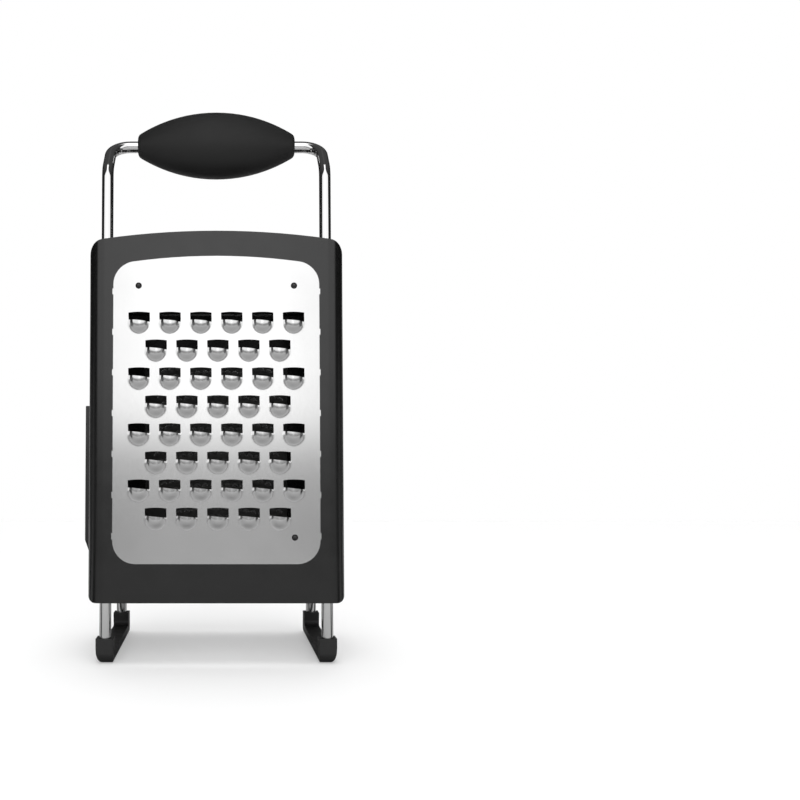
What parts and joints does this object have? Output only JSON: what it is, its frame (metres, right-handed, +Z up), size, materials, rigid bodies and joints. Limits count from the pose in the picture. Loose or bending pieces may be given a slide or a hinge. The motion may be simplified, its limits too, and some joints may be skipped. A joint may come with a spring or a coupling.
{
  "type": "box grater",
  "caption": "Four-sided box grater: black moulded casing with steel blade plates, a slicer, chromed rod legs, a soft grip and a front panel that slides up and off.",
  "frame": {"origin": "on the floor, in the middle of the four legs", "axes": "+Z up; the sliding front panel with the extra coarse blade faces -Y, the fine blade +Y, the slicer -X and the ribbon blade +X"},
  "size_m": [0.1427, 0.1009, 0.3087],
  "materials": {
    "casing_abs": "fine matt moulded ABS",
    "blade_steel": "brushed stainless sheet, pressed and etched",
    "chromed_rod": "bright chrome plate on steel rod",
    "grip_core": "plain moulded polypropylene",
    "soft_grip": "matt soft-touch elastomer",
    "foot_rubber": "matt non-slip elastomer"
  },
  "bodies": {
    "root": {"rear_frame": "casing_abs", "fine_blade": "blade_steel", "right_side_frame": "casing_abs", "ribbon_blade": "blade_steel", "left_side_frame": "casing_abs", "slicer_plate": "blade_steel", "slicer_carrier": "casing_abs", "slicer_blade": "blade_steel", "handle_hoop": "chromed_rod", "rear_hoop": "chromed_rod", "grip_core_front": "grip_core", "grip_core_back": "grip_core", "grip_cover": "soft_grip", "left_foot": "foot_rubber", "right_foot": "foot_rubber"},
    "front_panel": {"front_frame": "casing_abs", "extra_coarse_blade": "blade_steel"}
  },
  "joints": [
    {"name": "front_panel_slide", "type": "slide", "parent": "root", "child": "front_panel", "axis": [0, 0.045, 0.999], "range_m": [0, 0.19]}
  ]
}
